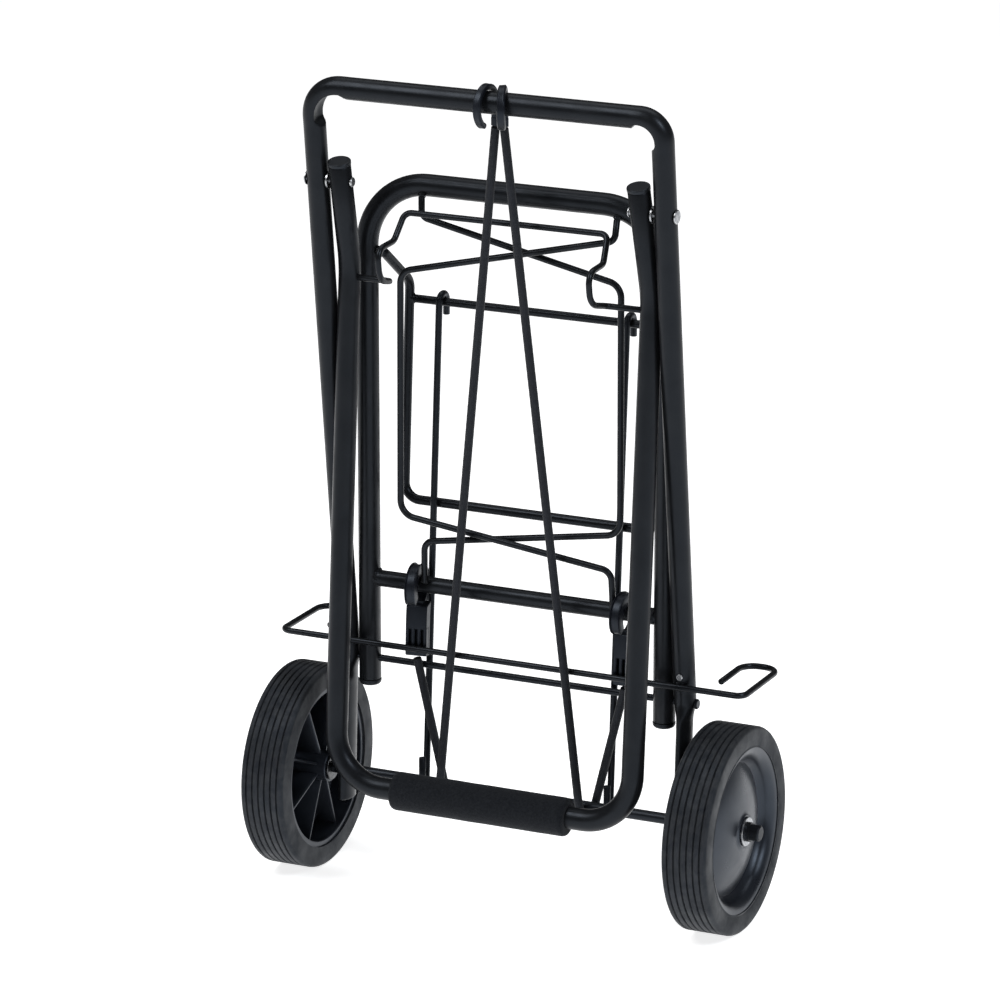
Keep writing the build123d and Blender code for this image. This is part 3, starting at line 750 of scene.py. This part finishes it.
def join(objects, name):
    """Several objects of one material as one mesh."""
    work = bmesh.new()
    for obj in objects:
        work.from_mesh(obj.data)
    mesh = bpy.data.meshes.new(name)
    work.to_mesh(mesh)
    work.free()
    mesh.materials.append(objects[0].data.materials[0])
    for obj in objects:
        bpy.data.objects.remove(obj)
    return link_object(name, mesh)


def flip(obj):
    """Moves a piece to the trolley's other side, mirrored."""
    obj.data.transform(Matrix.Scale(-1, 4, Vector((1, 0, 0))))
    obj.data.flip_normals()


for side in ("right", "left"):
    tyre = sharpen(lathe(f"tyre_solid_{side}", tyre_profile(), AXLE, RUBBER, steps=180), 40)
    shell = sharpen(lathe(f"hub_shell_{side}", hub_profile(), AXLE, HUB, steps=144), 38)
    ribs = [rib(f"rib_{i}", 2 * pi / RIBS * (i + 0.5)) for i in range(RIBS)]
    hub = join([shell, *ribs], f"hub_moulding_{side}")
    if side == "left":
        flip(tyre)
        flip(hub)
    finish_piece(tyre, f"wheel_{side}", "tyre_rubber", f"tyre_{side}")
    finish_piece(hub, f"wheel_{side}", "hub_plastic", f"wheel_hub_{side}")

# ---------------------------------------------------------------- bungee hooks
# a top hook's x on the top bar, and its turn about the vertical in degrees
TOP_HOOKS = {"left": (0.0012, -3.0), "right": (0.0135, 20.0)}
TOP_HOOK_START, TOP_HOOK_POINTS = 256, 150
SHANK_POINTS = 24
TOP_HOOK_IN = 0.0112
TOP_HOOK_WIDE, TOP_HOOK_THICK = 0.0067, 0.0048
TOP_HOOK_R = TOP_HOOK_IN + TOP_HOOK_THICK / 2
TOP_HOOK_STEP = 0.0004
TOP_SHANK = 0.016
HOOK_END = 0.0024
COLLAR_LONG, COLLAR_WIDE = 0.006, 1.06
RIDGES = (radians(270 - 33), radians(270 + 33))
RIDGE_SPREAD, RIDGE_RISE = 0.17, 0.115
HOOK_BODY = 0.88


def top_hook(side, x, turn):
    """A flattened bar bent nearly to a ring: two ridges run round its back, its tip is round."""
    turn = radians(turn)
    centre = Vector((x, FRAME_TOP.y, FRAME_TOP.z + TUBE_R + GAP - TOP_HOOK_IN))
    outward = Vector((-sin(turn), cos(turn), 0))
    line = [centre + (outward * cos(radians(a)) + Vector((0, 0, sin(radians(a))))) * TOP_HOOK_R
            for a in np.linspace(TOP_HOOK_START, 0, TOP_HOOK_POINTS)]
    line += [centre + outward * TOP_HOOK_R - Vector((0, 0, TOP_SHANK * k / SHANK_POINTS))
             for k in range(1, SHANK_POINTS + 1)]
    line = even(line, TOP_HOOK_STEP)
    total = TOP_HOOK_STEP * len(line)
    flat = TOP_HOOK_THICK / TOP_HOOK_WIDE

    def shape(distance, angle, _):
        # a rounded bar; the ridges stand on its outer face
        away = [((angle - at) + pi) % (2 * pi) - pi for at in RIDGES]
        ridges = sum(exp(-(gap / RIDGE_SPREAD) ** 2) for gap in away)
        end = min(1.0, distance / HOOK_END)
        tip = sqrt(max(0.03, 1 - (1 - end) ** 2))
        collar = 1.0 if total - distance > COLLAR_LONG else COLLAR_WIDE
        body = (HOOK_BODY + RIDGE_RISE * min(1.0, ridges)) * tip * collar
        squarer = 1 + 0.10 * sin(2 * angle) ** 2
        return body * squarer, body * squarer * flat

    name = f"top_hook_moulding_{side}"
    return tube(name, line, TOP_HOOK_WIDE / 2, HOOK, sides=72, shape=shape, edge=0.0001)


# a lower hook's x on the crossbar, the x of its cord's exit, and its turn about the shank in degrees
LOW_HOOKS = {"left": (-0.0766, -0.0750, 6.0), "right": (0.0876, 0.0884, -6.0)}
CROSSBAR = Vector((0, PLATFORM_PIVOT.y, 0.2230))
LOW_EXIT = Vector((0, -0.00175, 0.1710))
# in the plane of a lower hook, x to the back and y up its shank, from the crossbar's centre
RING_HOLE, HOLE_R = Vector((-0.0024, -0.0031)), 0.0103
RING_BODY, BODY_R = Vector((-0.0035, -0.0020)), 0.0175
RING_BACK = 0.0102
RING_HALF = 0.0040
SHANK_HALF, SHANK_DEEP = 0.0080, 0.0040
SLOTS_TOP = -0.0310
BAND_START, BAND_STEP, BAND_STATIONS = 226, 3.15, 97
BAND_TIP_STATIONS = 7
WALLS, WALL_PITCH, WALL_HALF = 4, 0.0046, 0.0011
FOOT_HIGH = 0.0035
# the band's section, as shares of its half width and of its thickness, with a rim along each edge
BAND = [
    (-0.86, 0.0), (0.86, 0.0), (1.0, 0.10), (1.0, 0.88), (0.93, 0.98), (0.74, 1.0), (0.62, 0.86),
    (-0.62, 0.86), (-0.74, 1.0), (-0.93, 0.98), (-1.0, 0.88), (-1.0, 0.10),
]


def ring_section(angle):
    """The inner and the outer point of the ring along a ray from the hole's centre."""
    way = Vector((cos(angle), sin(angle)))
    offset = RING_HOLE - RING_BODY
    along = -offset.dot(way) + sqrt(offset.dot(way) ** 2 - offset.length_squared + BODY_R ** 2)
    if way.x > 0:
        along = min(along, (RING_BACK - RING_HOLE.x) / way.x)
    return RING_HOLE + way * HOLE_R, RING_HOLE + way * along


def lower_hook(side, x, exit_x, turn):
    """A band bent over the crossbar, with a rim along each edge, on a ribbed and slotted shank."""
    top = Vector((x, CROSSBAR.y, CROSSBAR.z))
    shank = top - Vector((exit_x, LOW_EXIT.y, LOW_EXIT.z))
    up = shank.normalized()
    across = Vector((0, 1, 0)).cross(up).normalized()
    across.rotate(Matrix.Rotation(radians(turn), 3, up))
    deep = up.cross(across)

    def place(px, py, w):
        return top + deep * px + up * py + across * w

    def band():
        """The band over the crossbar: it starts thin at its tip and runs round to the shank."""
        points = []
        for k in range(BAND_STATIONS):
            inner, outer = ring_section(radians(BAND_START - BAND_STEP * k))
            tip = min(1.0, k / BAND_TIP_STATIONS)
            round_off = sqrt(max(0.02, 1 - (1 - tip) ** 2))
            middle = (inner + outer) / 2
            inner = middle + (inner - middle) * round_off
            outer = middle + (outer - middle) * round_off
            narrow = 0.6 + 0.4 * round_off
            for w, share in BAND:
                p = inner.lerp(outer, share)
                points.append(place(p.x, p.y, w * RING_HALF * narrow))
        return sharpen(mesh_object("band", points, skin(BAND_STATIONS, len(BAND)), HOOK), 38)

    pieces = [band()]

    def prism(outline, half, aside=0.0):
        """Adds an outline in the hook's plane, given a width; all its edges are rounded."""
        corners = [place(px, py, aside + w) for w in (-half, half) for px, py in outline]
        m = len(outline)
        sides = [(k, (k + 1) % m, m + (k + 1) % m, m + k) for k in range(m)]
        obj = mesh_object("prism", corners, [tuple(range(m)), tuple(range(m, 2 * m)), *sides], HOOK)
        work = bmesh.new()
        work.from_mesh(obj.data)
        edges = work.edges[:]
        bmesh.ops.bevel(work, geom=edges, offset=0.0005, segments=3, affect="EDGES", clamp_overlap=True)
        work.to_mesh(obj.data)
        work.free()
        smooth_faces(obj.data)
        pieces.append(sharpen(obj, 40))

    length = shank.length
    neck = [(-0.0034, -0.0160), (0.0050, -0.0128), (SHANK_DEEP, -0.0240), (SHANK_DEEP, SLOTS_TOP - 0.002),
            (-SHANK_DEEP, SLOTS_TOP - 0.002), (-SHANK_DEEP, -0.0225)]
    prism(neck, SHANK_HALF)
    back_plate = [(0.0008, SLOTS_TOP), (SHANK_DEEP, SLOTS_TOP), (SHANK_DEEP, -length), (0.0008, -length)]
    prism(back_plate, SHANK_HALF)
    wall = [(-SHANK_DEEP, SLOTS_TOP), (0.0012, SLOTS_TOP), (0.0012, -length),
            (-SHANK_DEEP + 0.0006, -length)]
    for k in range(WALLS):
        prism(wall, WALL_HALF, (k - (WALLS - 1) / 2) * WALL_PITCH)
    foot = -length + FOOT_HIGH
    prism([(-SHANK_DEEP + 0.0002, foot), (SHANK_DEEP, foot), (SHANK_DEEP - 0.0006, -length),
           (-SHANK_DEEP + 0.0006, -length)], SHANK_HALF - 0.0006)
    return join(pieces, f"lower_hook_moulding_{side}")


for side, (x, turn) in TOP_HOOKS.items():
    finish_piece(top_hook(side, x, turn), "frame", "hook_plastic", f"top_hook_{side}")
for side, (x, exit_x, turn) in LOW_HOOKS.items():
    finish_piece(lower_hook(side, x, exit_x, turn), "platform", "hook_plastic", f"lower_hook_{side}")

# ---------------------------------------------------------------- welds


def weld(centre, size, seed):
    """A lumpy bead of weld under the enamel; the seed changes its lumps."""
    work = bmesh.new()
    bmesh.ops.create_icosphere(work, subdivisions=3, radius=1.0)
    for v in work.verts:
        p = v.co
        lumps = 1 + 0.10 * sin(5 * p.x + seed) * cos(4 * p.y - seed) + 0.07 * sin(7 * p.z + 2 * seed)
        v.co = Vector((p.x * size[0], p.y * size[1], p.z * size[2])) * lumps + centre
    mesh = bpy.data.meshes.new("bead")
    work.to_mesh(mesh)
    work.free()
    mesh.materials.append(WIRE_ENAMEL)
    smooth_faces(mesh)
    return link_object("bead", mesh)


def crossing(a, b, c, d):
    """Where two wires cross, seen from the front: a point between a-b and c-d."""
    run_a, run_c = Vector(b) - Vector(a), Vector(d) - Vector(c)
    gap = Vector(c) - Vector(a)
    share = (gap.x * run_c.z - gap.z * run_c.x) / (run_a.x * run_c.z - run_a.z * run_c.x)
    spot = Vector(a) + run_a * share
    return Vector((spot.x, (BACK_Y + FRONT_Y) / 2, spot.z))


GRID_BEAD = (0.0031, 0.0029, 0.0026)
CROSSBAR_BEAD = (0.0024, 0.0066, 0.0068)
HOOK_WIRE_BEAD = (0.0040, 0.0020, 0.0014)
STAND_BEAD = (0.0022, 0.0037, 0.0038)
SIGNS = (-1, 1)
grid_welds = [
    crossing(grid_left[1], grid_left[2], grid_right[1], grid_right[2]),
    crossing(grid_left[3], grid_left[4], grid_right[3], grid_right[4]),
]
for wire in (grid_left, grid_right):
    grid_welds.append(Vector((wire[0][0], BACK_Y + 0.0012, wire[0][2] + 0.0010)))
    grid_welds.append(Vector((wire[5][0], BACK_Y + 0.0014, wire[5][2] + 0.0012)))
beads = [weld(spot, GRID_BEAD, 1.7 * i) for i, spot in enumerate(grid_welds)]
for i, sign in enumerate(SIGNS):
    edge = Vector((sign * (INNER_X - TUBE_R + 0.0006), CROSSBAR.y, CROSSBAR.z))
    beads.append(weld(edge, CROSSBAR_BEAD, 4.1 + i))
finish_piece(join(beads, "platform_welds"), "platform", "black_wire")

beads = []
for sign in SIGNS:
    for i, up in enumerate((-0.0022, 0.0022)):
        spot = Vector((sign * (FRAME_X - 0.0010), WIRE_Y + 0.0028, WIRE_Z + up))
        beads.append(weld(spot, HOOK_WIRE_BEAD, 2.3 * i + sign))
finish_piece(join(beads, "frame_welds"), "frame", "black_wire")

beads = [weld(Vector((sign * (STAND_X - 0.0030), LINK_PIVOT.y, LINK_PIVOT.z)), STAND_BEAD, 1.3 + sign)
         for sign in SIGNS]
finish_piece(join(beads, "stand_welds"), "stand", "black_wire")

# ---------------------------------------------------------------- the CAD parts that show as they are
for entry in frame["record"]["subparts"]:
    node = frame["nodes"][entry["node"]]
    node.data.materials.clear()
    # the inner washers take the darker copy of the zinc: painted shade between the legs
    inner = entry["node"].startswith("inner_washer")
    node.data.materials.append(SHADED_ZINC if inner else SLOT_MATERIALS[entry["material_slot"]])

# ---------------------------------------------------------------- floor and light


def stage_material():
    """White studio paper that glows, so that it stays pale round a black object."""
    m = Nodes("studio_paper", (0.90, 0.90, 0.90), 0.9)
    m.colour(m.noise(3, 3), (0.89, 0.89, 0.89), (0.91, 0.91, 0.91))
    m.bump(m.noise(400, 3), 0.0002, 0.1)
    m.set("Emission Color", (1, 1, 1, 1))
    m.set("Emission Strength", 0.80)
    return m.material


FLOOR_R, FLOOR_SIDES = 12.0, 96
LIGHT_AIM = Vector((0, 0, 0.3))


def paper_floor():
    """A wide level disc of paper, so that the trolley can be seen from every side."""
    angles = [2 * pi * k / FLOOR_SIDES for k in range(FLOOR_SIDES)]
    points = [Vector((FLOOR_R * cos(a), FLOOR_R * sin(a), 0)) for a in angles]
    return mesh_object("studio_floor", points, [tuple(range(FLOOR_SIDES))], stage_material())


def area_light(name, azimuth, elevation, distance, size, power, colour=(1, 1, 1)):
    """A soft box, placed round the trolley's middle and turned to it."""
    a, e = radians(azimuth), radians(elevation)
    direction = Vector((sin(a) * cos(e), -cos(a) * cos(e), sin(e)))
    light = bpy.data.lights.new(name, "AREA")
    light.shape = "RECTANGLE"
    light.size, light.size_y = size
    light.energy = power
    light.color = colour
    lamp = link_object(name, light)
    lamp.location = LIGHT_AIM + direction * distance
    lamp.rotation_euler = direction.to_track_quat("Z", "Y").to_euler()
    return lamp


key = area_light("key_box", -42, 52, 2.4, (1.2, 1.2), 30, (1.0, 0.985, 0.97))
fill = area_light("fill_box", 66, 40, 3.0, (0.55, 0.95), 34, (0.93, 0.96, 1.0))
top = area_light("top_box", 190, 72, 3.0, (2.6, 1.6), 22)

world = bpy.data.worlds.new("studio")
world.use_nodes = True
sky = world.node_tree.nodes["Background"]
sky.inputs["Color"].default_value = (0.94, 0.96, 1.0, 1)
sky.inputs["Strength"].default_value = 0.10
bpy.context.scene.world = world
# plain product-photo tones: white paper stays white and black enamel stays black
bpy.context.scene.view_settings.view_transform = "Standard"

paper_floor()
